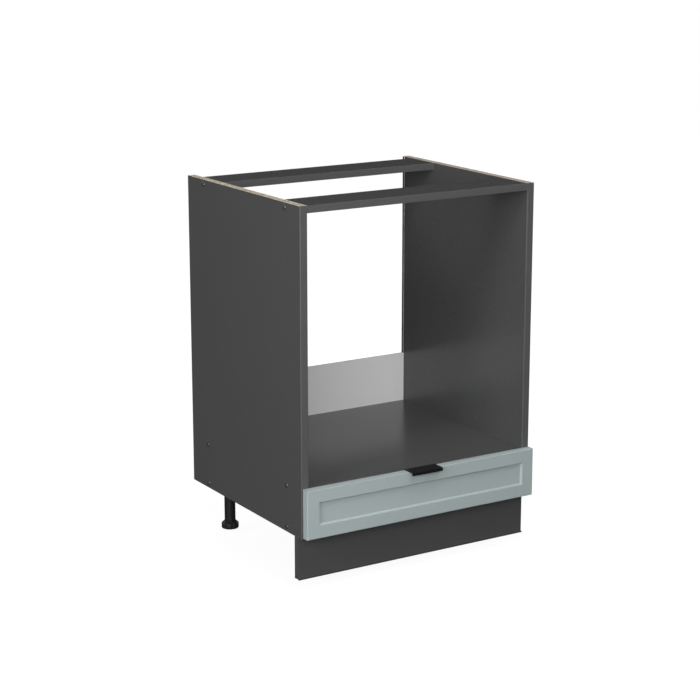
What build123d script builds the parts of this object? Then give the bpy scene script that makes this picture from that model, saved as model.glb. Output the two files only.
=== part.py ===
from build123d import *
import math
import os

os.makedirs("parts", exist_ok=True)

# ---------------------------------------------------------------------------
# Oven housing cabinet, 60 cm wide.
# Millimetres. +Z up, front faces -Y, the floor is z = 0, x = 0 is the middle
# of the cabinet. The pieces are laid out with y = 0 on the front edges of the
# side panels, then shifted so that the origin is the middle of the footprint.
# ---------------------------------------------------------------------------

# carcass
CAB_W = 600.0            # outside width over the side panels
CAB_D = 500.0            # depth, front edge to rear edge of the side panels
CAB_TOP = 820.0          # top of the side panels above the floor
LEG_H = 100.0            # underside of the carcass above the floor
SIDE_T = 18.0            # side panel thickness
BOARD_T = 16.0           # shelf, bottom and rail thickness
SIDE_EDGING_T = 2.0      # thick edging on the side panels' front edges
SIDE_EDGING_R = 1.9      # rounding of that edging
EDGING_T = 1.0           # edging on the other boards
EDGING_R = 0.7
SHELF_TOP = 212.0        # surface that the oven stands on
RAIL_W = 94.0            # width of each top rail, front to back
REAR_RAIL_BACK = 460.0   # rear edge of the rear rail
GROOVE_FRONT = 490.0     # back panel groove
GROOVE_W = 4.0
GROOVE_DEPTH = 8.5
BACK_T = 3.2             # back panel thickness
BACK_TOP = 333.0         # top edge of the short back panel

# carcass fasteners
SCREW_YS = (64.0, 425.0)      # two screws at each level
SCREW_Z_RAIL = 809.0
SCREW_Z_SHELF = 204.5
SCREW_Z_BOTTOM = 111.0
SCREW_HEAD_R = 5.0
SCREW_HEAD_H = 3.0
SCREW_SHANK_R = 3.5
SCREW_CORE_R = 2.5
SCREW_LEN = 50.0
CAP_R = 6.0                   # domed cover cap on the outer face
CAP_H = 3.0
CAP_LIP = 0.25                # upright edge under the dome
CAP_BALL = (CAP_R ** 2 + (CAP_H - CAP_LIP) ** 2) / (2 * (CAP_H - CAP_LIP))
DOWEL_R = 4.0
DOWEL_LEN = 30.0
DOWEL_IN_SIDE = 12.0

# drawer front
FRONT_W = 596.0
FRONT_T = 19.0
FRONT_GAP = 2.1          # gap between the front's rear face and the carcass
FRONT_Z0 = 103.5
FRONT_Z1 = 213.5
FRAME_W = 29.5           # width of the raised frame, at the sides
FRAME_H = 29.0           # and at the top and bottom
RECESS_DEPTH = 5.0
RECESS_BEVEL = 3.0       # width of the sloping inner edge of the frame
FRONT_R = 1.8            # rounding of the front arrises
FRONT_BACK_R = 0.8

# handle
HANDLE_W = 80.0
HANDLE_T = 1.6
HANDLE_REACH = 35.0      # front of the lip, in front of y = 0
HANDLE_LIP_Z = 207.8     # lower edge of the lip
HANDLE_BEND_R = 2.4      # outer radius of the bend into the lip
HANDLE_FLANGE_Z = 193.0  # lower edge of the screwed flange

# drawer box
RUNNER_T = 12.7          # space taken by each runner
RUNNER_H = 45.0
RUNNER_LEN = 450.0
RUNNER_Y0 = 4.0
RUNNER_Z = 156.0         # centre height of the runners
BOX_T = 16.0
BOX_Z0 = 122.0
BOX_Z1 = 190.0
BOX_BACK = 450.0
BOX_BOTTOM_T = 3.0
BOX_BOTTOM_Z = 132.0
BOX_GROOVE = 6.0

# runners (u runs from the side panel to the drawer side, v is up)
SHEET = 1.2
BALL_R = 2.0
BALL_U = 7.0
OUTER_BALL_V = 18.3
INNER_BALL_V = 12.9
BALL_GAP = 0.1
MID_WEB_U = 1.8
CAGE_Y0 = 117.0
CAGE_Y1 = 341.0
BALLS_PER_STRIP = 7

# legs
LEG_X = 254.6
LEG_Y_FRONT = 62.0
LEG_Y_REAR = 408.6
TUBE_R = 12.75
FOOT_R = 20.0
FOOT_WALL = 12.5         # height of the foot's upright rim
FOOT_TOP = 17.0          # where the tube starts
FOOT_TOP_R = 14.2
FOOT_STEM_R = 8.0
FOOT_STEM_TOP = 57.0
STEM_CLEAR = 0.08
FOOT_GROOVES = 6
FOOT_GROOVE_R = 2.8
FOOT_TURN = {"front_left": 8.0, "front_right": 47.0, "rear_left": 20.4, "rear_right": 33.0}   # degrees, how far each has been screwed round
SOCKET_PLATE = 54.0
SOCKET_PLATE_T = 4.0
SOCKET_CUP_R = 16.0
SOCKET_CUP_Z = 80.0
LEG_SCREW_PITCH = 44.0

# plinth
PLINTH_W = 596.0
PLINTH_Y = 18.5
PLINTH_T = 16.0
PLINTH_Z0 = 4.0
PLINTH_Z1 = 98.0
CLIP_Z = 55.0
CLIP_H = 20.0
CLIP_WALL = 2.5
CLIP_CLEAR = 0.25

FIT = 0.03               # clearance around fasteners in their holes

HALF = CAB_W / 2
INNER = HALF - SIDE_T                    # inner face of the side panels
BOX_X = INNER - RUNNER_T                 # outer face of the drawer sides
SHELF_Z0 = SHELF_TOP - BOARD_T
RAIL_Z0 = CAB_TOP - BOARD_T
BOTTOM_TOP = LEG_H + BOARD_T
FRONT_Y1 = -FRONT_GAP
FRONT_Y0 = FRONT_Y1 - FRONT_T
Y_CENTRE = (CAB_D - HANDLE_REACH) / 2    # middle of the whole footprint

parts = {}


def bx(x0, x1, y0, y1, z0, z1):
    """Box between two corners."""
    return Solid.make_box(x1 - x0, y1 - y0, z1 - z0, Plane((x0, y0, z0)))


def cyl(p, d, r, h):
    """Cylinder of radius r from point p, length h, along d."""
    return Solid.make_cylinder(r, h, Plane(origin=p, z_dir=d))


def cone(p, d, r0, r1, h):
    return Solid.make_cone(r0, r1, h, Plane(origin=p, z_dir=d))


def prism_x(points, x0, x1):
    """Prism along x from a (y, z) outline."""
    w = Wire.make_polygon([(x0, y, z) for y, z in points], close=True)
    return Solid.extrude(Face(w), Vector(x1 - x0, 0, 0))


def join(a, *more):
    for b in more:
        a = a.fuse(b)
    return a


def take(a, *cuts):
    for b in cuts:
        a = a.cut(b)
    return a


def add(name, *solids):
    parts[name] = list(solids)


# ---------------------------------------------------------------------------
# fasteners: each returns the screw, and with grow > 0 the hole it sits in
# ---------------------------------------------------------------------------

def hexagon_prism(p, d, across, h):
    plane = Plane(origin=p, z_dir=d)
    r = across / math.sqrt(3)
    pts = [plane.from_local_coords(Vector(r * math.cos(math.radians(60 * i)),
                                          r * math.sin(math.radians(60 * i)), 0))
           for i in range(6)]
    w = Wire.make_polygon(pts, close=True)
    return Solid.extrude(Face(w), plane.z_dir * h)


def carcass_screw(p, d, grow=0.0):
    d = Vector(*d)
    p = Vector(*p)
    s = join(cyl(p, d, SCREW_HEAD_R + grow, SCREW_HEAD_H),
             cyl(p, d, SCREW_SHANK_R + grow, SIDE_T),
             cyl(p, d, SCREW_CORE_R + grow, SCREW_LEN + grow))
    if not grow:
        s = s.cut(hexagon_prism(p, d, 4.0, 2.6))
    return s


def flat_screw(p, d, head_r, r, length, grow=0.0):
    """Countersunk screw, its head flush at p, pointing along d."""
    d = Vector(*d)
    p = Vector(*p)
    h = head_r - r
    s = join(cone(p, d, head_r + grow, r + grow, h),
             cyl(p + d * h * 0.5, d, r + grow, length - h * 0.5 + grow))
    if not grow:
        a = Plane(origin=p, z_dir=d)
        u, v = a.x_dir, a.y_dir
        for k in (u, v):
            w = v if k == u else u
            pts = [p + k * (1.3 * i) + w * (0.35 * j)
                   for i, j in ((-1, -1), (1, -1), (1, 1), (-1, 1))]
            s = s.cut(Solid.extrude(Face(Wire.make_polygon(pts, close=True)), d * 0.9))
    return s


def pan_screw(p, d, head_r, head_h, r, length, grow=0.0):
    """Pan-head screw, the underside of its head at p, pointing along d."""
    d = Vector(*d)
    p = Vector(*p)
    if grow:
        return cyl(p, d, r + grow, length + grow)
    head = cyl(p - d * head_h, d, head_r, head_h)
    head = head.fillet(head_h * 0.6, head.edges().filter_by(GeomType.CIRCLE).sort_by_distance(p - d * (head_h + 5))[0:1])
    s = join(head, cyl(p, d, r, length))
    return s


# ---------------------------------------------------------------------------
# carcass boards
# ---------------------------------------------------------------------------

LEVELS = ((SCREW_Z_RAIL, RAIL_Z0 + BOARD_T / 2, ((64.0, 30.0), (425.0, 392.0))),
          (SCREW_Z_SHELF, SHELF_Z0 + BOARD_T / 2, ((64.0, 112.0), (425.0, 377.0))),
          (SCREW_Z_BOTTOM, LEG_H + BOARD_T / 2, ((64.0, 112.0), (425.0, 377.0))))

RUNNER_SCREW_YS = (41.0, 233.0, 420.0)
DRAWER_SCREW_YS = (46.0, 210.0, 400.0)


def screw_points():
    for s in (-1, 1):
        for zs, zd, pairs in LEVELS:
            for ys, yd in pairs:
                yield s, ys, zs, yd, zd


screws, caps, dowels = [], [], []
screw_holes, dowel_holes = [], []
for s, ys, zs, yd, zd in screw_points():
    p = (s * HALF, ys, zs)
    d = (-s, 0, 0)
    screws.append(carcass_screw(p, d))
    screw_holes.append((s, carcass_screw(p, d, FIT)))
    cap = cyl((s * HALF, ys, zs), (s, 0, 0), CAP_R, CAP_LIP)
    low = math.degrees(math.asin(1 - (CAP_H - CAP_LIP) / CAP_BALL))
    cap = cap.fuse(Solid.make_sphere(CAP_BALL, Plane(origin=(s * (HALF + CAP_H - CAP_BALL), ys, zs), z_dir=(s, 0, 0)),
                                     low, 90))
    cap = cap.fuse(hexagon_prism(Vector(s * HALF, ys, zs), Vector(-s, 0, 0), 3.9, 2.4))
    caps.append(cap)
    x0 = s * (INNER + DOWEL_IN_SIDE)
    dw = cyl((x0, yd, zd), (-s, 0, 0), DOWEL_R, DOWEL_LEN)
    dw = dw.chamfer(0.8, None, dw.edges().filter_by(GeomType.CIRCLE))
    dowels.append(dw)
    dowel_holes.append((s, cyl((x0 + s * 0.5, yd, zd), (-s, 0, 0), DOWEL_R + FIT, DOWEL_LEN + 1)))

runner_cab_screws, runner_cab_holes = [], []
runner_dr_screws, runner_dr_holes = [], []
for s in (-1, 1):
    for y in RUNNER_SCREW_YS:
        p = (s * (INNER - SHEET), y, RUNNER_Z)
        runner_cab_screws.append(flat_screw(p, (s, 0, 0), 3.3, 1.6, 14.0))
        runner_cab_holes.append((s, flat_screw(p, (s, 0, 0), 3.3, 1.6, 14.0, FIT)))
    for y in DRAWER_SCREW_YS:
        p = (s * (BOX_X + SHEET), y, RUNNER_Z)
        runner_dr_screws.append(flat_screw(p, (-s, 0, 0), 3.3, 1.6, 13.0))
        runner_dr_holes.append((s, flat_screw(p, (-s, 0, 0), 3.3, 1.6, 13.0, FIT)))


def side_panel(s):
    a = bx(INNER, HALF, SIDE_EDGING_T, CAB_D, LEG_H, CAB_TOP)
    groove = bx(INNER - 1, INNER + GROOVE_DEPTH, GROOVE_FRONT, GROOVE_FRONT + GROOVE_W,
                LEG_H - 1, CAB_TOP + 1)
    a = a.cut(groove)
    if s < 0:
        a = a.mirror(Plane.YZ)
    cuts = [h for k, h in screw_holes + dowel_holes + runner_cab_holes if k == s]
    return take(a, *cuts)


def edging_front(x0, x1, y0, t, r, z0, z1, axis):
    """Edging strip with rounded front arrises, running along x or z."""
    e = bx(x0, x1, y0, y0 + t, z0, z1)
    front = e.edges().filter_by(axis).group_by(Axis.Y)[0]
    return e.fillet(r, front)


add("left_side_panel", side_panel(-1))
add("right_side_panel", side_panel(1))
add("left_side_edging", edging_front(-HALF, -INNER, 0, SIDE_EDGING_T, SIDE_EDGING_R, LEG_H, CAB_TOP, Axis.Z))
add("right_side_edging", edging_front(INNER, HALF, 0, SIDE_EDGING_T, SIDE_EDGING_R, LEG_H, CAB_TOP, Axis.Z))

BACK_SCREW_XS = (-220.0, -75.0, 75.0, 220.0)
back_screws, back_holes = [], []
for z in (SHELF_Z0 + BOARD_T / 2, LEG_H + BOARD_T / 2):
    for x in BACK_SCREW_XS:
        p = (x, GROOVE_FRONT + BACK_T, z)
        back_screws.append(pan_screw(p, (0, -1, 0), 3.2, 1.8, 1.5, 18.0))
        back_holes.append(pan_screw(p, (0, -1, 0), 3.2, 1.8, 1.5, 18.0, FIT))

leg_screws, leg_holes = [], []
LEG_POINTS = {"front_left": (-LEG_X, LEG_Y_FRONT), "front_right": (LEG_X, LEG_Y_FRONT),
              "rear_left": (-LEG_X, LEG_Y_REAR), "rear_right": (LEG_X, LEG_Y_REAR)}
for lx, ly in LEG_POINTS.values():
    for i in (-1, 1):
        for j in (-1, 1):
            p = (lx + i * LEG_SCREW_PITCH / 2, ly + j * LEG_SCREW_PITCH / 2, LEG_H - SOCKET_PLATE_T)
            leg_screws.append(flat_screw(p, (0, 0, 1), 3.4, 1.7, 15.0))
            leg_holes.append(flat_screw(p, (0, 0, 1), 3.4, 1.7, 15.0, FIT))


def cross_board(y0, y1, z0, z1):
    a = bx(-INNER, INNER, y0, y1, z0, z1)
    cuts = [h for _, h in screw_holes + dowel_holes]
    box = a.bounding_box()
    near = [h for h in cuts
            if h.bounding_box().min.Z < box.max.Z and h.bounding_box().max.Z > box.min.Z
            and h.bounding_box().min.Y < box.max.Y and h.bounding_box().max.Y > box.min.Y]
    return take(a, *near)


shelf = take(cross_board(EDGING_T, GROOVE_FRONT, SHELF_Z0, SHELF_TOP), *back_holes[:4])
bottom = take(cross_board(EDGING_T, GROOVE_FRONT, LEG_H, BOTTOM_TOP), *back_holes[4:], *leg_holes)
add("oven_shelf", shelf)
add("bottom_panel", bottom)
add("front_top_rail", cross_board(EDGING_T, RAIL_W, RAIL_Z0, CAB_TOP))
add("rear_top_rail", cross_board(REAR_RAIL_BACK - RAIL_W + EDGING_T, REAR_RAIL_BACK, RAIL_Z0, CAB_TOP))
add("oven_shelf_edging", edging_front(-INNER, INNER, 0, EDGING_T, EDGING_R, SHELF_Z0, SHELF_TOP, Axis.X))
add("bottom_panel_edging", edging_front(-INNER, INNER, 0, EDGING_T, EDGING_R, LEG_H, BOTTOM_TOP, Axis.X))
add("front_rail_edging", edging_front(-INNER, INNER, 0, EDGING_T, EDGING_R, RAIL_Z0, CAB_TOP, Axis.X))
add("rear_rail_edging", edging_front(-INNER, INNER, REAR_RAIL_BACK - RAIL_W, EDGING_T, EDGING_R,
                                     RAIL_Z0, CAB_TOP, Axis.X))

back = bx(-(INNER + GROOVE_DEPTH - 0.5), INNER + GROOVE_DEPTH - 0.5,
          GROOVE_FRONT, GROOVE_FRONT + BACK_T, LEG_H, BACK_TOP)
add("back_panel", take(back, *back_holes))
add("back_panel_screws", *back_screws)
add("carcass_screws", *screws)
add("screw_cover_caps", *caps)
add("carcass_dowels", *dowels)

# ---------------------------------------------------------------------------
# drawer runners: rolled steel sections around two rows of balls
# ---------------------------------------------------------------------------

def strip_section(path):
    """Closed outline of a sheet of thickness SHEET along a polyline path."""
    h = SHEET / 2
    n = len(path)
    left, right = [], []
    for i, (u, v) in enumerate(path):
        if i == 0:
            t = (path[1][0] - u, path[1][1] - v)
        elif i == n - 1:
            t = (u - path[-2][0], v - path[-2][1])
        else:
            a = (u - path[i - 1][0], v - path[i - 1][1])
            b = (path[i + 1][0] - u, path[i + 1][1] - v)
            la, lb = math.hypot(*a), math.hypot(*b)
            t = (a[0] / la + b[0] / lb, a[1] / la + b[1] / lb)
        lt = math.hypot(*t)
        nx, ny = -t[1] / lt, t[0] / lt
        k = 1.0
        if 0 < i < n - 1:
            k = 1.0 / max(0.5, (nx * -a[1] + ny * a[0]) / la)
        left.append((u + nx * h * k, v + ny * h * k))
        right.append((u - nx * h * k, v - ny * h * k))
    return left + right[::-1]


def arc_pts(cu, cv, r, a0, a1, n):
    return [(cu + r * math.cos(math.radians(a0 + (a1 - a0) * i / n)),
             cv + r * math.sin(math.radians(a0 + (a1 - a0) * i / n))) for i in range(n + 1)]


RACE = BALL_R + BALL_GAP + SHEET / 2         # centreline radius of a race


def outer_path():
    # cabinet member: upright web on the side panel, each flange rolled over its balls
    w = SHEET / 2
    top = [(w, 0.0), (w, OUTER_BALL_V + RACE - 1.2)]
    top += arc_pts(w + 1.2, OUTER_BALL_V + RACE - 1.2, 1.2, 180, 90, 4)[1:]
    top += arc_pts(BALL_U, OUTER_BALL_V, RACE, 90, 12, 8)
    return [(u, -v) for u, v in top[::-1][:-1]] + top


def middle_path():
    # middle member: channel whose flat flanges run between the two rows of balls
    w = MID_WEB_U + SHEET / 2
    f = OUTER_BALL_V - BALL_R - BALL_GAP - SHEET / 2
    top = [(w, 0.0), (w, f - 1.2)]
    top += arc_pts(w + 1.2, f - 1.2, 1.2, 180, 90, 4)[1:]
    top += [(9.8, f)]
    return [(u, -v) for u, v in top[::-1][:-1]] + top


def inner_path():
    # drawer member: web on the drawer side, each flange rolled up around its balls
    w = RUNNER_T - SHEET / 2
    top = [(w, 0.0), (w, INNER_BALL_V - RACE - 1.2)]
    top += arc_pts(w - 1.2, INNER_BALL_V - RACE - 1.2, 1.2, 0, 90, 4)[1:]
    top += arc_pts(BALL_U, INNER_BALL_V, RACE, -90, -168, 8)
    return [(u, -v) for u, v in top[::-1][:-1]] + top


def runner_member(path, s, y0, y1, holes):
    pts = strip_section(path)
    w = Wire.make_polygon([(s * (INNER - u), y0, RUNNER_Z + v) for u, v in pts], close=True)
    a = Solid.extrude(Face(w), Vector(0, y1 - y0, 0))
    return take(a, *holes)


RY0, RY1 = RUNNER_Y0, RUNNER_Y0 + RUNNER_LEN
for s, side in ((-1, "left"), (1, "right")):
    cab_holes = [h for k, h in runner_cab_holes if k == s]
    dr_holes = [h for k, h in runner_dr_holes if k == s]
    add(side + "_runner_cabinet_member", runner_member(outer_path(), s, RY0, RY1, cab_holes))
    # the middle member's web is pierced so that a driver reaches the screws
    access = [cyl((s * (INNER - 0.0), y, RUNNER_Z), (-s, 0, 0), 4.5, 5.0) for y in (60.0, 250.0, 430.0)]
    add(side + "_runner_middle_member", runner_member(middle_path(), s, RY0, RY1, access))
    add(side + "_runner_drawer_member", runner_member(inner_path(), s, RY0, RY1, dr_holes))
add("runner_cabinet_screws", *runner_cab_screws)
add("runner_drawer_screws", *runner_dr_screws)


def ball_row(s, v_ball, strip_lo, strip_hi):
    """Balls of one row and the flat retainer strip that spaces them."""
    strip_u0, strip_u1 = 4.2, 9.5
    pitch = (CAGE_Y1 - CAGE_Y0 - 20) / (BALLS_PER_STRIP - 1)
    ys = [CAGE_Y0 + 10 + pitch * i for i in range(BALLS_PER_STRIP)]
    x = s * (INNER - BALL_U)
    z = RUNNER_Z + v_ball
    balls = [Solid.make_sphere(BALL_R, Plane((x, y, z)), -90, 90, 360) for y in ys]
    xa, xb = sorted((s * (INNER - strip_u0), s * (INNER - strip_u1)))
    za, zb = sorted((RUNNER_Z + strip_lo, RUNNER_Z + strip_hi))
    strip = bx(xa, xb, CAGE_Y0, CAGE_Y1, za, zb)
    strip = take(strip, *[cyl((x, y, za - 1), (0, 0, 1), BALL_R + 0.05, 3) for y in ys])
    return balls, strip


outer_balls, outer_strips, inner_balls, inner_strips = [], [], [], []
for s in (-1, 1):
    for k in (-1, 1):
        b, st = ball_row(s, k * OUTER_BALL_V, k * 17.2, k * 18.0)
        outer_balls += b
        outer_strips.append(st)
        b, st = ball_row(s, k * INNER_BALL_V, k * 13.2, k * 14.0)
        inner_balls += b
        inner_strips.append(st)
add("outer_bearing_balls", *outer_balls)
add("outer_ball_retainers", *outer_strips)
add("inner_bearing_balls", *inner_balls)
add("inner_ball_retainers", *inner_strips)

# ---------------------------------------------------------------------------
# drawer
# ---------------------------------------------------------------------------

INX = BOX_X - BOX_T                       # inner face of the drawer sides
box_screws, box_holes = [], []
for s in (-1, 1):
    for y in (FRONT_Y1 + BOX_T / 2, BOX_BACK - BOX_T / 2):
        for z in (127.0, 184.0):
            p = (s * BOX_X, y, z)
            box_screws.append(flat_screw(p, (-s, 0, 0), 3.8, 2.0, 45.0))
            box_holes.append(flat_screw(p, (-s, 0, 0), 3.8, 2.0, 45.0, FIT))
front_screws, front_holes = [], []
for x in (-205.0, 205.0):
    for z in (143.0, 172.0):
        p = (x, FRONT_Y1 + BOX_T, z)
        front_screws.append(flat_screw(p, (0, -1, 0), 3.8, 2.0, 28.0))
        front_holes.append(flat_screw(p, (0, -1, 0), 3.8, 2.0, 28.0, FIT))
handle_screws, handle_holes = [], []
for x in (-26.0, 26.0):
    p = (x, FRONT_Y1 + HANDLE_T, 200.5)
    handle_screws.append(flat_screw(p, (0, -1, 0), 3.0, 1.5, 14.0))
    handle_holes.append(flat_screw(p, (0, -1, 0), 3.0, 1.5, 14.0, FIT))

bottom_tray = bx(-(INX + BOX_GROOVE), INX + BOX_GROOVE,
                 FRONT_Y1 + BOX_T - BOX_GROOVE, BOX_BACK - BOX_T + BOX_GROOVE,
                 BOX_BOTTOM_Z, BOX_BOTTOM_Z + BOX_BOTTOM_T)
for s, side in ((-1, "left"), (1, "right")):
    xa, xb = sorted((s * INX, s * BOX_X))
    a = bx(xa, xb, FRONT_Y1, BOX_BACK, BOX_Z0, BOX_Z1)
    # the groove for the bottom runs out through both ends of each side
    gx0, gx1 = sorted((s * (INX - 1), s * (INX + BOX_GROOVE)))
    a = a.cut(bx(gx0, gx1, FRONT_Y1 - 1, BOX_BACK + 1, BOX_BOTTOM_Z, BOX_BOTTOM_Z + BOX_BOTTOM_T))
    a = take(a, *box_holes, *[h for k, h in runner_dr_holes if k == s])
    top = a.edges().filter_by(Axis.Y).group_by(Axis.Z)[-1]
    add("drawer_%s_side" % side, a.fillet(1.0, top))
inner_front = bx(-INX, INX, FRONT_Y1, FRONT_Y1 + BOX_T, BOX_Z0, BOX_Z1)
add("drawer_inner_front", take(inner_front, bottom_tray, *box_holes, *front_holes))
back_board = bx(-INX, INX, BOX_BACK - BOX_T, BOX_BACK, BOX_Z0, BOX_Z1)
add("drawer_back", take(back_board, bottom_tray, *box_holes))
add("drawer_bottom", bottom_tray)
add("drawer_box_screws", *box_screws)
add("drawer_front_screws", *front_screws)

# drawer front: one board with a milled frame
f = bx(-FRONT_W / 2, FRONT_W / 2, FRONT_Y0, FRONT_Y1, FRONT_Z0, FRONT_Z1)
rear_edges = f.faces().sort_by(Axis.Y)[-1].edges()
f = f.fillet(FRONT_BACK_R, rear_edges)
upright = [e for e in f.edges().filter_by(Axis.Y)]
front_edges = [e for e in f.faces().sort_by(Axis.Y)[0].edges()]
f = f.fillet(FRONT_R, front_edges)


def rect_wire(y, dx, dz):
    x = FRONT_W / 2 - FRAME_W - dx
    z0, z1 = FRONT_Z0 + FRAME_H + dz, FRONT_Z1 - FRAME_H - dz
    return Wire.make_polygon([(-x, y, z0), (x, y, z0), (x, y, z1), (-x, y, z1)], close=True)


k = RECESS_BEVEL / RECESS_DEPTH
pocket = Solid.make_loft([rect_wire(FRONT_Y0 - 1, -k, -k),
                          rect_wire(FRONT_Y0 + RECESS_DEPTH, RECESS_BEVEL, RECESS_BEVEL)], ruled=True)
f = take(f, pocket, *front_holes, *handle_holes)
add("drawer_front", f)

# handle: bent strip, screwed behind the front, over its top edge and down in front
t = HANDLE_T
top_z = FRONT_Z1 + t
lip_y = -HANDLE_REACH
R, r = HANDLE_BEND_R, HANDLE_BEND_R - t
outer = [(FRONT_Y1 + t, HANDLE_FLANGE_Z), (FRONT_Y1 + t, top_z - 1.5)]
outer += [(FRONT_Y1 + t - 1.5 + 1.5 * math.cos(math.radians(a)), top_z - 1.5 + 1.5 * math.sin(math.radians(a)))
          for a in range(15, 91, 15)]
outer += [(lip_y + R + R * math.cos(math.radians(a)), top_z - R + R * math.sin(math.radians(a)))
          for a in range(90, 181, 10)]
outer += [(lip_y, HANDLE_LIP_Z)]
inner = [(lip_y + t, HANDLE_LIP_Z)]
inner += [(lip_y + R + r * math.cos(math.radians(a)), top_z - R + r * math.sin(math.radians(a)))
          for a in range(180, 89, -10)]
inner += [(FRONT_Y1, FRONT_Z1), (FRONT_Y1, HANDLE_FLANGE_Z)]
handle = prism_x(outer + inner, -HANDLE_W / 2, HANDLE_W / 2)
add("drawer_handle", take(handle, *handle_holes))
add("handle_screws", *handle_screws)

# soft bumpers, which meet the front edges of the oven shelf and the bottom panel
bumpers = []
for s in (-1, 1):
    for z in (109.5, SHELF_Z0 + BOARD_T / 2):
        b = cyl((s * 268.0, FRONT_Y1, z), (0, 1, 0), 4.0, FRONT_GAP - 0.25)
        rim = b.edges().filter_by(GeomType.CIRCLE).sort_by(Axis.Y)[-1:]
        bumpers.append(b.fillet(1.0, rim))
add("drawer_bumpers", *bumpers)

# ---------------------------------------------------------------------------
# legs: socket under the bottom panel, tube, and a foot that screws into it
# ---------------------------------------------------------------------------

add("leg_screws", *leg_screws)
for name, (lx, ly) in LEG_POINTS.items():
    plate = bx(lx - SOCKET_PLATE / 2, lx + SOCKET_PLATE / 2, ly - SOCKET_PLATE / 2, ly + SOCKET_PLATE / 2,
               LEG_H - SOCKET_PLATE_T, LEG_H)
    plate = plate.fillet(6.0, plate.edges().filter_by(Axis.Z))
    zc = LEG_H - SOCKET_PLATE_T
    cup = cyl((lx, ly, SOCKET_CUP_Z), (0, 0, 1), SOCKET_CUP_R, zc - SOCKET_CUP_Z)
    sock = plate.fuse(cup)
    for ang in (0, 90, 180, 270):
        c, sn = math.cos(math.radians(ang)), math.sin(math.radians(ang))
        q = [(SOCKET_CUP_R - 1.0, SOCKET_CUP_Z + 2.0), (SOCKET_CUP_R + 8.0, zc + 0.5), (SOCKET_CUP_R - 1.0, zc + 0.5)]
        pts = [(lx + a * c + 1.2 * sn, ly + a * sn - 1.2 * c, b) for a, b in q]
        rib = Solid.extrude(Face(Wire.make_polygon(pts, close=True)), Vector(-2.4 * sn, 2.4 * c, 0))
        sock = sock.fuse(rib)
    sock = sock.cut(cyl((lx, ly, SOCKET_CUP_Z - 1), (0, 0, 1), TUBE_R + 0.02, zc - SOCKET_CUP_Z + 1))
    sock = take(sock, *[h for h in leg_holes
                        if abs(h.center().X - lx) < 30 and abs(h.center().Y - ly) < 30])
    add(name + "_leg_socket", sock)

    tube = cyl((lx, ly, FOOT_TOP), (0, 0, 1), TUBE_R, zc - FOOT_TOP)
    lower = tube.edges().filter_by(GeomType.CIRCLE).sort_by(Axis.Z)[0:1]
    tube = tube.chamfer(0.6, None, lower)
    tube = tube.cut(cyl((lx, ly, FOOT_TOP - 1), (0, 0, 1), FOOT_STEM_R + STEM_CLEAR, 46.0))
    tube = tube.cut(cyl((lx, ly, FOOT_TOP + 44.0), (0, 0, 1), 10.4, zc))
    add(name + "_leg_tube", tube)

    prof = [(0, 0), (FOOT_R - 1.6, 0), (FOOT_R, 1.6), (FOOT_R, FOOT_WALL - 0.8), (FOOT_R - 0.8, FOOT_WALL),
            (FOOT_TOP_R, FOOT_TOP), (FOOT_STEM_R, FOOT_TOP), (FOOT_STEM_R, FOOT_STEM_TOP - 1.5),
            (FOOT_STEM_R - 1.5, FOOT_STEM_TOP), (0, FOOT_STEM_TOP)]
    w = Wire.make_polygon([(lx + a, ly, b) for a, b in prof], close=True)
    foot = Solid.revolve(Face(w), 360, Axis((lx, ly, 0), (0, 0, 1)))
    for i in range(FOOT_GROOVES):
        a = math.radians(FOOT_TURN[name] + 360 / FOOT_GROOVES * i)
        g = cyl((lx + (FOOT_R + 0.5) * math.cos(a), ly + (FOOT_R + 0.5) * math.sin(a), -1), (0, 0, 1),
                FOOT_GROOVE_R, FOOT_TOP + 0.5)
        foot = foot.cut(g)
    add(name + "_foot", foot)

# ---------------------------------------------------------------------------
# plinth board, its sealing strip and its clips
# ---------------------------------------------------------------------------

PY1 = PLINTH_Y + PLINTH_T
PYM = PLINTH_Y + PLINTH_T / 2
clip_screws, clip_holes, clips = [], [], []
for lx in (-LEG_X, LEG_X):
    for z in (CLIP_Z - 14.0, CLIP_Z + 14.0):
        p = (lx, PY1 + 3.0, z)
        clip_screws.append(flat_screw(p, (0, -1, 0), 3.3, 1.7, 14.0))
        clip_holes.append(flat_screw(p, (0, -1, 0), 3.3, 1.7, 14.0, FIT))
    ri = TUBE_R + CLIP_CLEAR
    ro = ri + CLIP_WALL
    z0, z1 = CLIP_Z - CLIP_H / 2, CLIP_Z + CLIP_H / 2
    ly = LEG_Y_FRONT
    base = bx(lx - 19.0, lx + 19.0, PY1, PY1 + 3.0, CLIP_Z - 20.0, CLIP_Z + 20.0)
    base = base.fillet(4.0, base.edges().filter_by(Axis.Y))
    neck = bx(lx - 5.0, lx + 5.0, PY1 + 2.0, ly - ri - 1.0, z0, z1)
    ring = cyl((lx, ly, z0), (0, 0, 1), ro, CLIP_H)
    arms = bx(lx - ro, lx + ro, ly, ly + 11.0, z0, z1)
    clip = join(base, neck, ring.cut(bx(lx - 40, lx + 40, ly, ly + 40, z0 - 1, z1 + 1)), arms)
    clip = take(clip, cyl((lx, ly, z0 - 1), (0, 0, 1), ri, CLIP_H + 2),
                bx(lx - ri, lx + ri, ly, ly + 40, z0 - 1, z1 + 1), *clip_holes)
    clips.append(clip)
board = bx(-PLINTH_W / 2, PLINTH_W / 2, PLINTH_Y, PY1, PLINTH_Z0, PLINTH_Z1)
kerf = bx(-PLINTH_W / 2 - 1, PLINTH_W / 2 + 1, PYM - 1.4, PYM + 1.4, PLINTH_Z0 - 1, PLINTH_Z0 + 8.0)
add("plinth_board", take(board, kerf, *clip_holes))
add("plinth_clips", *clips)
add("plinth_clip_screws", *clip_screws)
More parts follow.
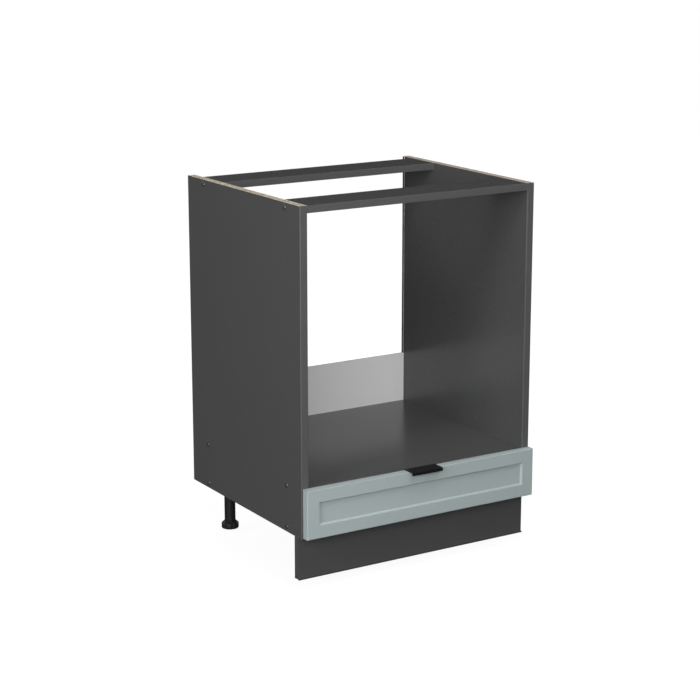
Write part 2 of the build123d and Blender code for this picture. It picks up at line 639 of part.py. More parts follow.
strip_pts = [(PYM - 8.0, 4.0), (PYM - 8.0, 2.9), (PYM - 9.2, 1.5), (PYM - 8.3, 1.2), (PYM - 6.8, 2.8),
             (PYM + 6.8, 2.8), (PYM + 7.5, 1.4), (PYM + 8.4, 1.7), (PYM + 8.0, 4.0),
             (PYM + 0.8, 4.0), (PYM + 0.8, 6.0), (PYM + 1.4, 6.2), (PYM + 0.8, 8.0), (PYM + 1.4, 8.2),
             (PYM + 0.4, 11.0), (PYM - 0.4, 11.0), (PYM - 1.4, 8.2), (PYM - 0.8, 8.0), (PYM - 1.4, 6.2),
             (PYM - 0.8, 6.0), (PYM - 0.8, 4.0)]
add("plinth_seal_strip", prism_x(strip_pts, -PLINTH_W / 2, PLINTH_W / 2 + 2.5))

# ---------------------------------------------------------------------------

shift = Location((0, -Y_CENTRE, 0))
total = None
for name, solids in parts.items():
    moved = [s for shape in solids for s in shape.moved(shift).solids()]
    shape = moved[0] if len(moved) == 1 else Compound(children=moved)
    export_step(shape, "parts/%s.step" % name)
    b = shape.bounding_box()
    total = b if total is None else total.add(b)
print(len(parts), "nodes; box", total.min, total.max)
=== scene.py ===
import bpy
import bmesh
import math
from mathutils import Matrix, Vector


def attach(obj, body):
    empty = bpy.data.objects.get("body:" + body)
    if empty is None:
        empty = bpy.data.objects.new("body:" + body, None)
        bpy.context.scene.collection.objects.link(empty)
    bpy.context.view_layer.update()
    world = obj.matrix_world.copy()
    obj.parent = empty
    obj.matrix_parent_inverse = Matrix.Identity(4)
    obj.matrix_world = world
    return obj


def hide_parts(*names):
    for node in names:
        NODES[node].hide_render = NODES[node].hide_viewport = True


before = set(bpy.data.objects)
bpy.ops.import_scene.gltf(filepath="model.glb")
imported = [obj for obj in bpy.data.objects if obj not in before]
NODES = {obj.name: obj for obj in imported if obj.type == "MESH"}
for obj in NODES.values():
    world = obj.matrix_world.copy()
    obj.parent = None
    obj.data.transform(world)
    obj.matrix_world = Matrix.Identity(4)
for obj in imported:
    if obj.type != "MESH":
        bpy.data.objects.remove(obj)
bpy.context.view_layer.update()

# The origin is on the floor, in the middle of the footprint. Metres, +Z up, the front faces -Y.
FRONT = -0.2325            # plane of the side panels' front edges


# ---------------------------------------------------------------------------
# a short hand for material graphs
# ---------------------------------------------------------------------------

class Graph:
    def __init__(self, name):
        self.mat = bpy.data.materials.new(name)
        self.mat.use_nodes = True
        self.tree = self.mat.node_tree
        self.tree.nodes.clear()
        self.out = self.new("ShaderNodeOutputMaterial")
        self.bsdf = self.new("ShaderNodeBsdfPrincipled")
        self.join(self.bsdf.outputs["BSDF"], self.out.inputs["Surface"])
        coords = self.new("ShaderNodeTexCoord")
        self.pos = coords.outputs["Object"]
        self.nrm = coords.outputs["Normal"]
        self.x, self.y, self.z = self.split(self.pos)
        self.nx, self.ny, self.nz = self.split(self.nrm)

    def new(self, kind, **props):
        n = self.tree.nodes.new(kind)
        for k, v in props.items():
            setattr(n, k, v)
        return n

    def join(self, a, b):
        self.tree.links.new(a, b)

    def put(self, socket, value):
        if isinstance(value, bpy.types.NodeSocket):
            self.join(value, socket)
        elif value is not None:
            socket.default_value = value

    def split(self, v):
        n = self.new("ShaderNodeSeparateXYZ")
        self.join(v, n.inputs[0])
        return n.outputs[0], n.outputs[1], n.outputs[2]

    def combine(self, x, y, z):
        n = self.new("ShaderNodeCombineXYZ")
        for i, v in enumerate((x, y, z)):
            self.put(n.inputs[i], v)
        return n.outputs[0]

    def math(self, op, a, b=None, c=None, clamp=False):
        n = self.new("ShaderNodeMath", operation=op, use_clamp=clamp)
        for i, v in enumerate((a, b, c)):
            if v is not None:
                self.put(n.inputs[i], v)
        return n.outputs[0]

    def above(self, a, edge, soft):
        """0 below edge - soft, 1 above edge + soft."""
        n = self.new("ShaderNodeMapRange", clamp=True)
        self.put(n.inputs["Value"], a)
        n.inputs["From Min"].default_value = edge - soft
        n.inputs["From Max"].default_value = edge + soft
        return n.outputs["Result"]

    def below(self, a, edge, soft):
        return self.math("SUBTRACT", 1.0, self.above(a, edge, soft))

    def times(self, *values):
        r = values[0]
        for v in values[1:]:
            r = self.math("MULTIPLY", r, v)
        return r

    def most(self, *values):
        r = values[0]
        for v in values[1:]:
            r = self.math("MAXIMUM", r, v)
        return r

    def stretch(self, sx, sy, sz, offset=(0, 0, 0)):
        n = self.new("ShaderNodeMapping", vector_type="POINT")
        self.join(self.pos, n.inputs["Vector"])
        n.inputs["Scale"].default_value = (sx, sy, sz)
        n.inputs["Location"].default_value = offset
        return n.outputs[0]

    def noise(self, scale, detail=2.0, rough=0.5, vec=None, warp=0.0):
        n = self.new("ShaderNodeTexNoise")
        self.join(vec or self.pos, n.inputs["Vector"])
        n.inputs["Scale"].default_value = scale
        n.inputs["Detail"].default_value = detail
        n.inputs["Roughness"].default_value = rough
        n.inputs["Distortion"].default_value = warp
        return n.outputs["Fac"]

    def cells(self, scale, vec=None, out="Distance", feature="F1", random=1.0):
        n = self.new("ShaderNodeTexVoronoi", feature=feature)
        self.join(vec or self.pos, n.inputs["Vector"])
        n.inputs["Scale"].default_value = scale
        n.inputs["Randomness"].default_value = random
        return n.outputs[out]

    def ramp(self, fac, stops, interp="LINEAR"):
        n = self.new("ShaderNodeValToRGB")
        n.color_ramp.interpolation = interp
        e = n.color_ramp.elements
        while len(e) < len(stops):
            e.new(0.5)
        for el, (p, c) in zip(e, stops):
            el.position = p
            el.color = (*c, 1.0) if len(c) == 3 else c
        self.put(n.inputs["Fac"], fac)
        return n.outputs["Color"]

    def grade(self, fac, lo, hi, out0, out1):
        """fac from lo..hi to out0..out1, as one number."""
        n = self.new("ShaderNodeMapRange", clamp=True)
        self.put(n.inputs["Value"], fac)
        n.inputs["From Min"].default_value = lo
        n.inputs["From Max"].default_value = hi
        n.inputs["To Min"].default_value = out0
        n.inputs["To Max"].default_value = out1
        return n.outputs["Result"]

    def mix(self, fac, a, b, blend="MIX"):
        n = self.new("ShaderNodeMix", data_type="RGBA", blend_type=blend)
        self.put(n.inputs[0], fac)
        for i, v in ((6, a), (7, b)):
            if isinstance(v, tuple) and len(v) == 3:
                v = (*v, 1.0)
            self.put(n.inputs[i], v)
        return n.outputs[2]

    def mixf(self, fac, a, b):
        n = self.new("ShaderNodeMix", data_type="FLOAT")
        self.put(n.inputs[0], fac)
        self.put(n.inputs[2], a)
        self.put(n.inputs[3], b)
        return n.outputs[0]

    def tint(self, colour, factor):
        """colour times a number."""
        n = self.new("ShaderNodeVectorMath", operation="SCALE")
        if isinstance(colour, tuple):
            n.inputs[0].default_value = colour[:3]
        else:
            self.join(colour, n.inputs[0])
        self.put(n.inputs["Scale"], factor)
        return n.outputs[0]

    def bump(self, height, distance, strength=1.0, normal=None):
        n = self.new("ShaderNodeBump")
        self.put(n.inputs["Height"], height)
        n.inputs["Distance"].default_value = distance
        self.put(n.inputs["Strength"], strength)
        if normal is not None:
            self.join(normal, n.inputs["Normal"])
        return n.outputs["Normal"]

    def finish(self, colour, roughness, normal=None, metallic=0.0, **sockets):
        self.put(self.bsdf.inputs["Base Color"], colour if not isinstance(colour, tuple) else (*colour[:3], 1.0))
        self.put(self.bsdf.inputs["Roughness"], roughness)
        self.put(self.bsdf.inputs["Metallic"], metallic)
        if normal is not None:
            self.join(normal, self.bsdf.inputs["Normal"])
        for k, v in sockets.items():
            self.bsdf.inputs[k.replace("_", " ")].default_value = v
        return self.mat


def absn(g, v):
    return g.math("ABSOLUTE", v)


# ---------------------------------------------------------------------------
# chipboard with an anthracite melamine film, raw where it is sawn
# ---------------------------------------------------------------------------

FILM = (0.0640, 0.0642, 0.0646)


def film_look(g, base=FILM):
    """Colour, roughness and height of the melamine film: a fine pearl grain and a very soft cloudiness."""
    grain = g.noise(1500.0, 2.0, 0.6)
    flecks = g.noise(420.0, 3.0, 0.65)
    cloud = g.noise(9.0, 2.0, 0.5)
    f = g.math("ADD", g.grade(flecks, 0.3, 0.7, 0.965, 1.035), g.grade(cloud, 0.3, 0.7, -0.014, 0.014))
    colour = g.tint(base, f)
    rough = g.math("ADD", g.grade(flecks, 0.3, 0.7, 0.235, 0.275), g.grade(grain, 0.3, 0.7, -0.012, 0.012))
    return colour, rough, grain


def chip_look(g, thick, mid, half, painted_edge_shade=1.0):
    """Sawn chipboard: pale flakes and dark gaps in the core, finer dust near the two faces.
    thick is the coordinate across the board, mid its middle and half half the thickness. The last argument
    scales the sawn colour as painted shade: below 1 it paints the edges darker, above 1 lighter."""
    t = absn(g, g.math("SUBTRACT", thick, mid))
    skin = g.above(t, half * 0.62, half * 0.07)
    warped = g.stretch(1.0, 1.0, 1.0)
    big = g.new("ShaderNodeTexVoronoi", feature="F1")
    g.join(warped, big.inputs["Vector"])
    big.inputs["Scale"].default_value = 330.0
    tone = g.split(big.outputs["Color"])[0]
    core = g.ramp(tone, [(0.0, (0.20, 0.152, 0.107)), (0.25, (0.375, 0.300, 0.223)), (0.6, (0.520, 0.438, 0.348)), (1.0, (0.635, 0.553, 0.459))])
    gap = g.above(g.cells(330.0, warped, feature="DISTANCE_TO_EDGE"), 0.055, 0.05)
    core = g.mix(gap, (0.11, 0.075, 0.048), core)
    dust = g.noise(1300.0, 4.0, 0.7)
    fine = g.ramp(dust, [(0.3, (0.312, 0.249, 0.181)), (0.5, (0.487, 0.406, 0.316)), (0.7, (0.616, 0.530, 0.431))])
    colour = g.mix(skin, core, fine)
    shade = g.grade(g.noise(45.0, 3.0, 0.6), 0.3, 0.7, 0.86 * painted_edge_shade, 1.08 * painted_edge_shade)
    colour = g.tint(colour, shade)
    h = g.mixf(skin, g.math("MULTIPLY", gap, g.grade(tone, 0.0, 1.0, 0.45, 1.0)), g.math("MULTIPLY", dust, 0.5))
    return colour, 0.82, h


def board(name, across, mid, thickness, keep=(), groove=None, base=FILM, painted_edge_shade=1.0):
    """across: x, y or z, the axis through the board's thickness. keep: further normals (axis, sign) that
    carry film or edging. groove: y of the two walls of a milled groove, which is greyer than a sawn edge."""
    g = Graph(name)
    n = {"x": g.nx, "y": g.ny, "z": g.nz}
    film = g.above(absn(g, n[across]), 0.6, 0.05)
    for axis, sign in keep:
        film = g.most(film, g.above(n[axis] if sign > 0 else g.math("MULTIPLY", n[axis], -1.0), 0.6, 0.05))
    p = {"x": absn(g, g.x), "y": g.y, "z": g.z}[across]
    fc, fr, fh = film_look(g, base)
    cc, cr, ch = chip_look(g, p, mid, thickness / 2, painted_edge_shade)
    if groove is not None:
        milled = g.times(g.above(g.y, groove[0] - 0.0003, 0.0001), g.below(g.y, groove[1] + 0.0003, 0.0001),
                         g.below(g.z, 0.8195, 0.0001))
        cc = g.mix(milled, cc, g.tint((0.352, 0.346, 0.333), g.grade(g.noise(900.0, 4.0, 0.7), 0.3, 0.7, 0.82, 1.12)))
    colour = g.mix(film, cc, fc)
    rough = g.mixf(film, cr, fr)
    fine = g.bump(fh, 0.00004, 0.25)
    coarse = g.bump(ch, 0.0004, g.math("SUBTRACT", 1.0, film), fine)
    return g.finish(colour, rough, coarse, Specular_IOR_Level=0.62)


# painted shade on the sawn edges: the right panel's are painted darker (x0.90), the left panel's a little lighter
# (x1.03)
board_left = board("anthracite_board_left", "x", 0.291, 0.018, groove=(FRONT + 0.490, FRONT + 0.494), painted_edge_shade=1.03)
board_right = board("anthracite_board_right", "x", 0.291, 0.018, groove=(FRONT + 0.490, FRONT + 0.494), painted_edge_shade=0.90)
board_flat_shelf = board("anthracite_board_shelf", "z", 0.204, 0.016)
board_flat_bottom = board("anthracite_board_bottom", "z", 0.108, 0.016)
board_flat_rail = board("anthracite_board_rail", "z", 0.812, 0.016)
board_box_side = board("anthracite_board_box_side", "x", 0.2613, 0.016, keep=(("z", 1), ("y", 1)))
board_box_front = board("anthracite_board_box_front", "y", FRONT + 0.006, 0.016, keep=(("z", 1),))
board_box_back = board("anthracite_board_box_back", "y", FRONT + 0.442, 0.016, keep=(("z", 1),))
board_plinth = board("anthracite_board_plinth", "y", FRONT + 0.0265, 0.016, keep=(("x", 1), ("x", -1)))


def edging():
    g = Graph("anthracite_edging")
    grain = g.noise(1400.0, 2.0, 0.6)
    drawn = g.noise(1.0, 3.0, 0.6, g.stretch(1600.0, 1600.0, 30.0))
    c = g.tint((0.0800, 0.0802, 0.0808), g.grade(g.noise(300.0, 3.0, 0.6), 0.3, 0.7, 0.97, 1.03))
    r = g.grade(drawn, 0.3, 0.7, 0.34, 0.42)
    return g.finish(c, r, g.bump(g.math("ADD", grain, g.math("MULTIPLY", drawn, 0.6)), 0.00003, 0.4),
                    Specular_IOR_Level=0.45)


def sage():
    g = Graph("sage_lacquer")
    peel = g.noise(190.0, 2.0, 0.5)
    fine = g.noise(1700.0, 2.0, 0.6)
    cloud = g.noise(7.0, 2.0, 0.5)
    f = g.math("ADD", g.grade(g.noise(500.0, 3.0, 0.6), 0.3, 0.7, 0.985, 1.015), g.grade(cloud, 0.3, 0.7, -0.008, 0.008))
    c = g.tint((0.334, 0.387, 0.387), f)
    r = g.grade(fine, 0.3, 0.7, 0.36, 0.44)
    h = g.math("ADD", g.math("MULTIPLY", peel, 0.6), g.math("MULTIPLY", fine, 0.4))
    return g.finish(c, r, g.bump(h, 0.00006, 0.25), Specular_IOR_Level=0.4)


def fibreboard(name, axis, face_both=False):
    g = Graph(name)
    n = {"y": g.ny, "z": g.nz}[axis]
    painted = g.above(g.math("MULTIPLY", n, -1.0) if axis == "y" else n, 0.6, 0.05)
    fine = g.noise(1200.0, 3.0, 0.6)
    cloud = g.noise(14.0, 3.0, 0.55)
    paint = g.tint((0.640, 0.640, 0.643), g.math("ADD", g.grade(fine, 0.3, 0.7, 0.985, 1.015), g.grade(cloud, 0.3, 0.7, -0.012, 0.012)))
    fibres = g.noise(1.0, 4.0, 0.7, g.stretch(260.0, 260.0, 900.0), 0.6)
    specks = g.noise(700.0, 3.0, 0.7)
    raw = g.ramp(fibres, [(0.30, (0.16, 0.095, 0.052)), (0.5, (0.235, 0.15, 0.087)), (0.72, (0.31, 0.21, 0.13))])
    raw = g.tint(raw, g.grade(specks, 0.3, 0.7, 0.88, 1.1))
    c = g.mix(painted, raw, paint)
    r = g.mixf(painted, 0.78, g.grade(fine, 0.3, 0.7, 0.42, 0.50))
    h = g.mixf(painted, g.math("MULTIPLY", specks, 1.0), g.math("MULTIPLY", fine, 0.25))
    return g.finish(c, r, g.bump(h, 0.0001, 0.35), Specular_IOR_Level=0.4)


def zinc(name, stretch=(60.0, 900.0, 900.0)):
    g = Graph(name)
    lines = g.noise(1.0, 3.0, 0.65, g.stretch(*stretch))
    spangle = g.cells(260.0, out="Color")
    s = g.split(spangle)[0]
    c = g.ramp(g.math("ADD", g.math("MULTIPLY", lines, 0.6), g.math("MULTIPLY", s, 0.4)),
               [(0.2, (0.50, 0.51, 0.53)), (0.55, (0.61, 0.62, 0.635)), (0.85, (0.70, 0.705, 0.71))])
    r = g.grade(lines, 0.3, 0.7, 0.26, 0.38)
    return g.finish(c, r, g.bump(lines, 0.00003, 0.4), 1.0)


def chrome():
    g = Graph("bearing_steel")
    n = g.noise(900.0, 2.0, 0.5)
    c = g.ramp(n, [(0.3, (0.70, 0.70, 0.72)), (0.7, (0.78, 0.78, 0.79))])
    return g.finish(c, g.grade(n, 0.3, 0.7, 0.07, 0.13), None, 1.0)


def grained_plastic(name, base, rough=(0.46, 0.58), grain=1500.0, depth=0.00012, shine=0.5):
    g = Graph(name)
    cell = g.noise(grain, 3.0, 0.6)
    soft = g.noise(60.0, 2.0, 0.5)
    c = g.tint(base, g.math("ADD", g.grade(cell, 0.3, 0.7, 0.93, 1.07), g.grade(soft, 0.3, 0.7, -0.04, 0.04)))
    return g.finish(c, g.grade(cell, 0.3, 0.7, *rough), g.bump(cell, depth, 0.5), Specular_IOR_Level=shine)


def powder_coat():
    g = Graph("black_metal")
    orange = g.noise(1100.0, 2.0, 0.55)
    c = g.tint((0.0062, 0.0063, 0.0066), g.grade(orange, 0.3, 0.7, 0.92, 1.10))
    return g.finish(c, g.grade(orange, 0.3, 0.7, 0.44, 0.52), g.bump(orange, 0.00010, 0.35), Specular_IOR_Level=0.14)


def beech():
    g = Graph("beech")
    rings = g.noise(1.0, 3.0, 0.6, g.stretch(25.0, 420.0, 420.0))
    pores = g.noise(1.0, 2.0, 0.6, g.stretch(180.0, 2600.0, 2600.0))
    flutes = g.noise(1.0, 0.0, 0.5, g.stretch(2.0, 1500.0, 1500.0))
    c = g.ramp(rings, [(0.3, (0.50, 0.34, 0.205)), (0.5, (0.60, 0.43, 0.275)), (0.7, (0.68, 0.51, 0.34))])
    c = g.tint(c, g.grade(pores, 0.35, 0.6, 0.82, 1.03))
    return g.finish(c, 0.62, g.bump(g.math("ADD", g.math("MULTIPLY", flutes, 1.4), g.math("MULTIPLY", pores, 0.3)), 0.0004, 0.6))


def rubber(name, base, rough=(0.68, 0.80)):
    g = Graph(name)
    n = g.noise(1300.0, 2.0, 0.6)
    c = g.tint(base, g.grade(n, 0.3, 0.7, 0.92, 1.08))
    return g.finish(c, g.grade(n, 0.3, 0.7, *rough), g.bump(n, 0.00006, 0.4), Specular_IOR_Level=0.35)


mat_edging = edging()
mat_sage = sage()
mat_back = fibreboard("light_grey_fibreboard", "y")
mat_tray = fibreboard("light_grey_fibreboard_flat", "z")
mat_zinc = zinc("zinc_steel")
mat_runner = zinc("zinc_steel_rolled", (900.0, 20.0, 900.0))
mat_chrome = chrome()
mat_cap = grained_plastic("anthracite_plastic", (0.034, 0.0342, 0.0345), (0.24, 0.31), 1600.0, 0.00004, 0.6)
mat_black = grained_plastic("black_plastic", (0.0100, 0.0102, 0.0105), (0.40, 0.50), shine=0.34)
mat_powder = powder_coat()
mat_beech = beech()
mat_rubber = rubber("soft_rubber", (0.028, 0.028, 0.029))
mat_bumper = rubber("soft_rubber_clear_grey", (0.16, 0.16, 0.16), (0.35, 0.45))

LOOKS = {
    "left_side_panel": board_left, "right_side_panel": board_right,
    "oven_shelf": board_flat_shelf, "bottom_panel": board_flat_bottom,
    "front_top_rail": board_flat_rail, "rear_top_rail": board_flat_rail,
    "drawer_left_side": board_box_side, "drawer_right_side": board_box_side,
    "drawer_inner_front": board_box_front, "drawer_back": board_box_back,
    "plinth_board": board_plinth,
    "back_panel": mat_back, "drawer_bottom": mat_tray,
    "drawer_front": mat_sage, "drawer_handle": mat_powder,
    "screw_cover_caps": mat_cap, "carcass_dowels": mat_beech,
    "plinth_clips": mat_black, "plinth_seal_strip": mat_rubber, "drawer_bumpers": mat_bumper,
    "outer_bearing_balls": mat_chrome, "inner_bearing_balls": mat_chrome,
}
for n in NODES:
    if n.endswith("_edging"):
        LOOKS[n] = mat_edging
    elif n.endswith("_leg_socket") or n.endswith("_leg_tube") or n.endswith("_foot"):
        LOOKS[n] = mat_black
    elif "_runner_" in n or n.endswith("_retainers"):
        LOOKS[n] = mat_runner
    elif n not in LOOKS:
        LOOKS[n] = mat_zinc
for n, o in NODES.items():
    if not o.material_slots:
        o.data.materials.append(LOOKS[n])
    for s in o.material_slots:
        s.material = LOOKS[n]


# ---------------------------------------------------------------------------
# feet: a grooved disc on a threaded stem, each turned round by its own amount
# ---------------------------------------------------------------------------

FEET = {"front_left": (-0.2546, FRONT + 0.062, 8.0), "front_right": (0.2546, FRONT + 0.062, 47.0),
        "rear_left": (-0.2546, FRONT + 0.4086, 20.4), "rear_right": (0.2546, FRONT + 0.4086, 33.0)}
FOOT_R, GROOVE_R, GROOVE_AT = 20.0, 2.8, 20.5
STEM_CORE, STEM_CREST, PITCH = 6.7, 7.98, 3.0


def soft_least(a, b, k):
    """The smaller of two lengths, with the corner between them rounded."""
    h = max(k - abs(a - b), 0.0) / k
    return min(a, b) - h * h * k * 0.25


def groove_radius(offset):
    """Where a ray at this angle from a groove's middle meets the groove."""
    side = GROOVE_AT * math.sin(offset)
    if abs(side) >= GROOVE_R or math.cos(offset) < 0:
        return 99.0
    return GROOVE_AT * math.cos(offset) - math.sqrt(GROOVE_R ** 2 - side ** 2)


def thread_radius(turn, z):
    """Rounded trapezoidal thread, which runs out at the bottom and is chamfered at the top."""
    f = (z / PITCH - turn) % 1.0
    t = min(max((abs(f - 0.5) - 0.14) / 0.20, 0.0), 1.0)
    t = t * t * (3.0 - 2.0 * t)
    grow = min(max((z - 17.4) / 2.2, 0.0), 1.0)
    r = STEM_CORE + (STEM_CREST - STEM_CORE) * t * grow * grow * (3.0 - 2.0 * grow)
    return min(r, 6.5 + (57.0 - z))


def foot_mesh(name, x, y, turn):
    bm = bmesh.new()
    n = 240
    rows = []
    # (radius, height) up the outside of the disc; r = 0 rows close it
    outline = [(3.0, 0.0), (9.0, 0.0), (14.0, 0.0), (17.0, 0.0), (18.2, 0.0), (18.9, 0.25), (19.45, 0.75), (19.8, 1.25),
               (20.0, 1.9), (20.0, 4.0), (20.0, 8.0), (20.0, 11.2), (19.9, 11.9), (19.6, 12.3), (19.1, 12.62),
               (18.3, 13.3), (17.4, 14.1), (16.0, 15.35), (14.7, 16.5), (14.3, 16.86), (13.7, 17.0), (11.0, 17.0),
               (8.2, 17.0), (7.3, 17.1)]
    for r, z in outline:
        row = []
        for i in range(n):
            a = 2.0 * math.pi * i / n
            near = (math.degrees(a) - turn) % 60.0
            near = min(near, 60.0 - near)
            q = soft_least(r, groove_radius(math.radians(near)), 0.7) if r > 17.1 else r
            row.append(bm.verts.new((x + q * math.cos(a) / 1000.0, y + q * math.sin(a) / 1000.0, z / 1000.0)))
        rows.append(row)
    z = 17.4
    while z <= 57.0001:
        row = []
        for i in range(n):
            a = 2.0 * math.pi * i / n
            q = thread_radius(i / n, z)
            row.append(bm.verts.new((x + q * math.cos(a) / 1000.0, y + q * math.sin(a) / 1000.0, z / 1000.0)))
        rows.append(row)
        z += 0.3
    for lower, upper in zip(rows, rows[1:]):
        for i in range(n):
            j = (i + 1) % n
            bm.faces.new((lower[i], lower[j], upper[j], upper[i]))
    for row, height, flip in ((rows[0], 0.0, True), (rows[-1], 57.0, False)):
        mid = bm.verts.new((x, y, height / 1000.0))
        for i in range(n):
            j = (i + 1) % n
            bm.faces.new((mid, row[j], row[i]) if flip else (mid, row[i], row[j]))
    for f in bm.faces:
        f.smooth = True
    me = bpy.data.meshes.new(name)
    bm.to_mesh(me)
    bm.free()
    me.materials.append(mat_black)
    o = bpy.data.objects.new(name, me)
    bpy.context.scene.collection.objects.link(o)
    return o


for where, (x, y, turn) in FEET.items():
    piece = foot_mesh(where + "_threaded_foot", x, y, turn)
    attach(piece, "foot_" + where)
    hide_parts(where + "_foot")


# ---------------------------------------------------------------------------
# domed caps over the carcass screws, each with a hexagonal peg in the screw's socket
# ---------------------------------------------------------------------------

CAP_AT = [(side, FRONT + y, z) for side in (-1, 1) for z in (0.809, 0.2045, 0.111) for y in (0.064, 0.425)]
CAP_R, CAP_H, CAP_LIP, PEG, PEG_DEPTH = 6.0, 3.0, 0.25, 3.9, 2.4


def caps_mesh(name):
    bm = bmesh.new()
    n = 48
    ball = (CAP_R ** 2 + (CAP_H - CAP_LIP) ** 2) / (2.0 * (CAP_H - CAP_LIP))
    for side, y, z in CAP_AT:
        rows = []

        def ring(radius, height):
            row = []
            for i in range(n):
                a = 2.0 * math.pi * i / n
                r = radius(a) if callable(radius) else radius
                row.append(bm.verts.new((side * (300.0 + height) / 1000.0, y + r * math.cos(a) / 1000.0,
                                         z + r * math.sin(a) / 1000.0)))
            rows.append(row)

        def hexagon(a):
            return PEG / 2.0 / math.cos((a + math.pi / 6.0) % (math.pi / 3.0) - math.pi / 6.0)

        ring(lambda a: hexagon(a) - 0.3, -PEG_DEPTH)
        ring(hexagon, -PEG_DEPTH + 0.3)
        ring(hexagon, 0.0)
        ring(CAP_R, 0.0)
        ring(CAP_R, CAP_LIP * 0.6)
        for k in range(0, 15):
            slope = math.asin(CAP_R / ball) * (1.0 - k / 15.0)
            ring(ball * math.sin(slope) - (0.12 if k == 0 else 0.0), CAP_H - ball * (1.0 - math.cos(slope)))
        top = bm.verts.new((side * (300.0 + CAP_H) / 1000.0, y, z))
        end = bm.verts.new((side * (300.0 - PEG_DEPTH) / 1000.0, y, z))
        for lower, upper in zip(rows, rows[1:]):
            for i in range(n):
                j = (i + 1) % n
                bm.faces.new((lower[i], lower[j], upper[j], upper[i]))
        for i in range(n):
            j = (i + 1) % n
            bm.faces.new((rows[-1][i], rows[-1][j], top))
            bm.faces.new((rows[0][j], rows[0][i], end))
    bmesh.ops.recalc_face_normals(bm, faces=bm.faces)
    for f in bm.faces:
        f.smooth = True
    for e in bm.edges:
        e.smooth = e.calc_face_angle(0.0) < 0.6
    me = bpy.data.meshes.new(name)
    bm.to_mesh(me)
    bm.free()
    me.materials.append(mat_cap)
    o = bpy.data.objects.new(name, me)
    bpy.context.scene.collection.objects.link(o)
    return o


piece = caps_mesh("domed_screw_caps")
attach(piece, "carcass")
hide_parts("screw_cover_caps")


# ---------------------------------------------------------------------------
# floor, surroundings, light and camera
# ---------------------------------------------------------------------------

FLOOR_GLOW = 0.085         # light that the floor sends back up
AMBIENT = 0.0058           # light from all round


def floor():
    bm = bmesh.new()
    bmesh.ops.create_circle(bm, cap_ends=True, radius=60.0, segments=96)
    me = bpy.data.meshes.new("floor")
    bm.to_mesh(me)
    bm.free()
    o = bpy.data.objects.new("floor", me)
    bpy.context.scene.collection.objects.link(o)
    o.location.z = -0.0205     # just under the feet when they are screwed right out
    m = bpy.data.materials.new("floor")
    m.use_nodes = True
    t = m.node_tree
    t.nodes.clear()
    out = t.nodes.new("ShaderNodeOutputMaterial")
    seen = t.nodes.new("ShaderNodeAddShader")
    glow = t.nodes.new("ShaderNodeEmission")
    glow.inputs["Color"].default_value = (1, 1, 1, 1)
    # the floor's glow is painted darker round the cabinet, a soft painted shade under it, and brightens to full glow
    # away from it, so that it meets the surroundings without a line
    where = t.nodes.new("ShaderNodeTexCoord")
    far = t.nodes.new("ShaderNodeVectorMath")
    far.operation = "LENGTH"
    t.links.new(where.outputs["Object"], far.inputs[0])
    painted_floor_shade = t.nodes.new("ShaderNodeMapRange")
    painted_floor_shade.interpolation_type = "SMOOTHSTEP"
    painted_floor_shade.inputs["From Min"].default_value = 0.45
    painted_floor_shade.inputs["From Max"].default_value = 1.3
    # painted shade: the glow is 0.945 close to the cabinet and 1.0 far off
    painted_floor_shade.inputs["To Min"].default_value = 0.945
    painted_floor_shade.inputs["To Max"].default_value = 1.0
    t.links.new(far.outputs["Value"], painted_floor_shade.inputs["Value"])
    t.links.new(painted_floor_shade.outputs["Result"], glow.inputs["Strength"])
    matt = t.nodes.new("ShaderNodeBsdfDiffuse")
    matt.inputs["Color"].default_value = (0.07, 0.07, 0.07, 1)
    t.links.new(glow.outputs[0], seen.inputs[0])
    t.links.new(matt.outputs[0], seen.inputs[1])
    back = t.nodes.new("ShaderNodeEmission")
    back.name = "bounce"
    back.inputs["Strength"].default_value = FLOOR_GLOW
    path = t.nodes.new("ShaderNodeLightPath")
    pick = t.nodes.new("ShaderNodeMixShader")
    t.links.new(path.outputs["Is Camera Ray"], pick.inputs[0])
    t.links.new(back.outputs[0], pick.inputs[1])
    t.links.new(seen.outputs[0], pick.inputs[2])
    t.links.new(pick.outputs[0], out.inputs[0])
    me.materials.append(m)
    return o


def surroundings(strength):
    w = bpy.data.worlds.new("surroundings")
    bpy.context.scene.world = w
    w.use_nodes = True
    t = w.node_tree
    t.nodes.clear()
    out = t.nodes.new("ShaderNodeOutputWorld")
    seen = t.nodes.new("ShaderNodeBackground")
    seen.inputs["Color"].default_value = (1, 1, 1, 1)
    seen.inputs["Strength"].default_value = 1.0
    lit = t.nodes.new("ShaderNodeBackground")
    lit.name = "ambient"
    lit.inputs["Strength"].default_value = strength
    path = t.nodes.new("ShaderNodeLightPath")
    pick = t.nodes.new("ShaderNodeMixShader")
    t.links.new(path.outputs["Is Camera Ray"], pick.inputs[0])
    t.links.new(lit.outputs[0], pick.inputs[1])
    t.links.new(seen.outputs[0], pick.inputs[2])
    t.links.new(pick.outputs[0], out.inputs[0])


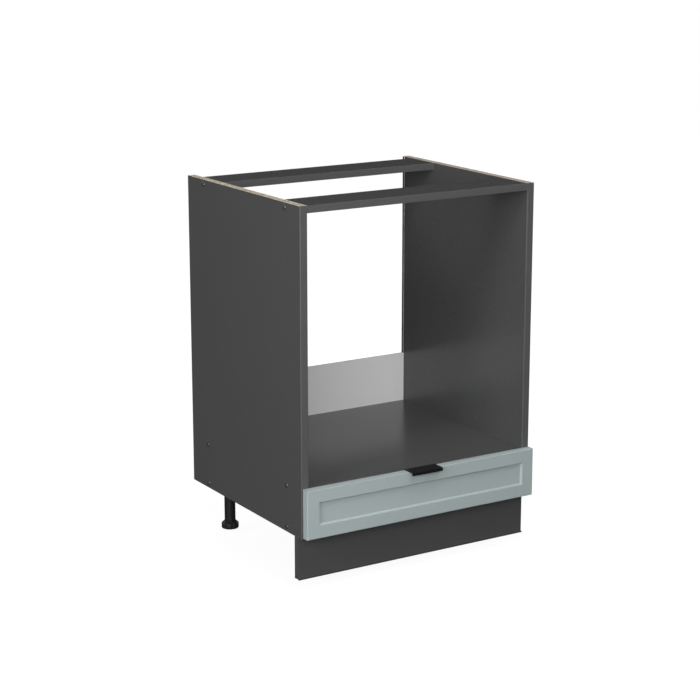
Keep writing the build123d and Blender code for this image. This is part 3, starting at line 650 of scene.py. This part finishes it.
AIM = Vector((0.0, 0.0, 0.42))
# name: azimuth (0 = in front, negative = left), elevation, distance, size, watts
LAMPS = {
    "front_high": (0, 65, 4.2, 1.2, 64.7),
    "front_left": (-20, 20, 4.2, 2.6, 48.6),
    "front_mid": (-30, 30, 4.2, 2.6, 25.4),
    "low_left": (-40, 10, 4.2, 2.6, 67.7),
    "left_front": (-62, 12, 4.2, 1.2, 25.5),
    "left": (-72, 8, 4.2, 1.2, 11.9),
    "left_high": (-72, 25, 4.2, 1.2, 59.8),
    "right": (100, 9, 4.2, 5.2, 86.0),
    "right_high": (110, 35, 4.2, 2.6, 32.0),
    "right_rear": (150, 50, 4.2, 2.6, 5.7),
    "rear": (-177, 33, 4.2, 2.6, 46.0),
}


def lamp(name, azimuth, elevation, distance, size, watts):
    a, e = math.radians(azimuth), math.radians(elevation)
    d = bpy.data.lights.new("lamp_" + name, "AREA")
    d.shape = "DISK"
    d.size = size
    d.energy = watts
    o = bpy.data.objects.new("lamp_" + name, d)
    away = Vector((math.sin(a) * math.cos(e), -math.cos(a) * math.cos(e), math.sin(e)))
    o.location = AIM + away * distance
    o.rotation_euler = away.to_track_quat("Z", "Y").to_euler()
    bpy.context.scene.collection.objects.link(o)
    return o


floor()
surroundings(AMBIENT)
for k, v in LAMPS.items():
    lamp(k, *v)

cam = bpy.data.cameras.new("camera")
cam.sensor_width = 36.0
cam.lens = 97.65
cam.clip_start, cam.clip_end = 0.1, 200.0
eye = bpy.data.objects.new("camera", cam)
bpy.context.scene.collection.objects.link(eye)
eye.location = (-2.2395, -3.5466, 1.4656)
yaw, pitch = math.radians(31.87), math.radians(13.87)
look = Vector((math.sin(yaw) * math.cos(pitch), math.cos(yaw) * math.cos(pitch), -math.sin(pitch)))
eye.rotation_euler = look.to_track_quat("-Z", "Y").to_euler()
bpy.context.scene.camera = eye

scene = bpy.context.scene
scene.view_settings.view_transform = "Standard"
scene.view_settings.look = "None"
scene.view_settings.exposure = 0.0
scene.view_settings.gamma = 1.0
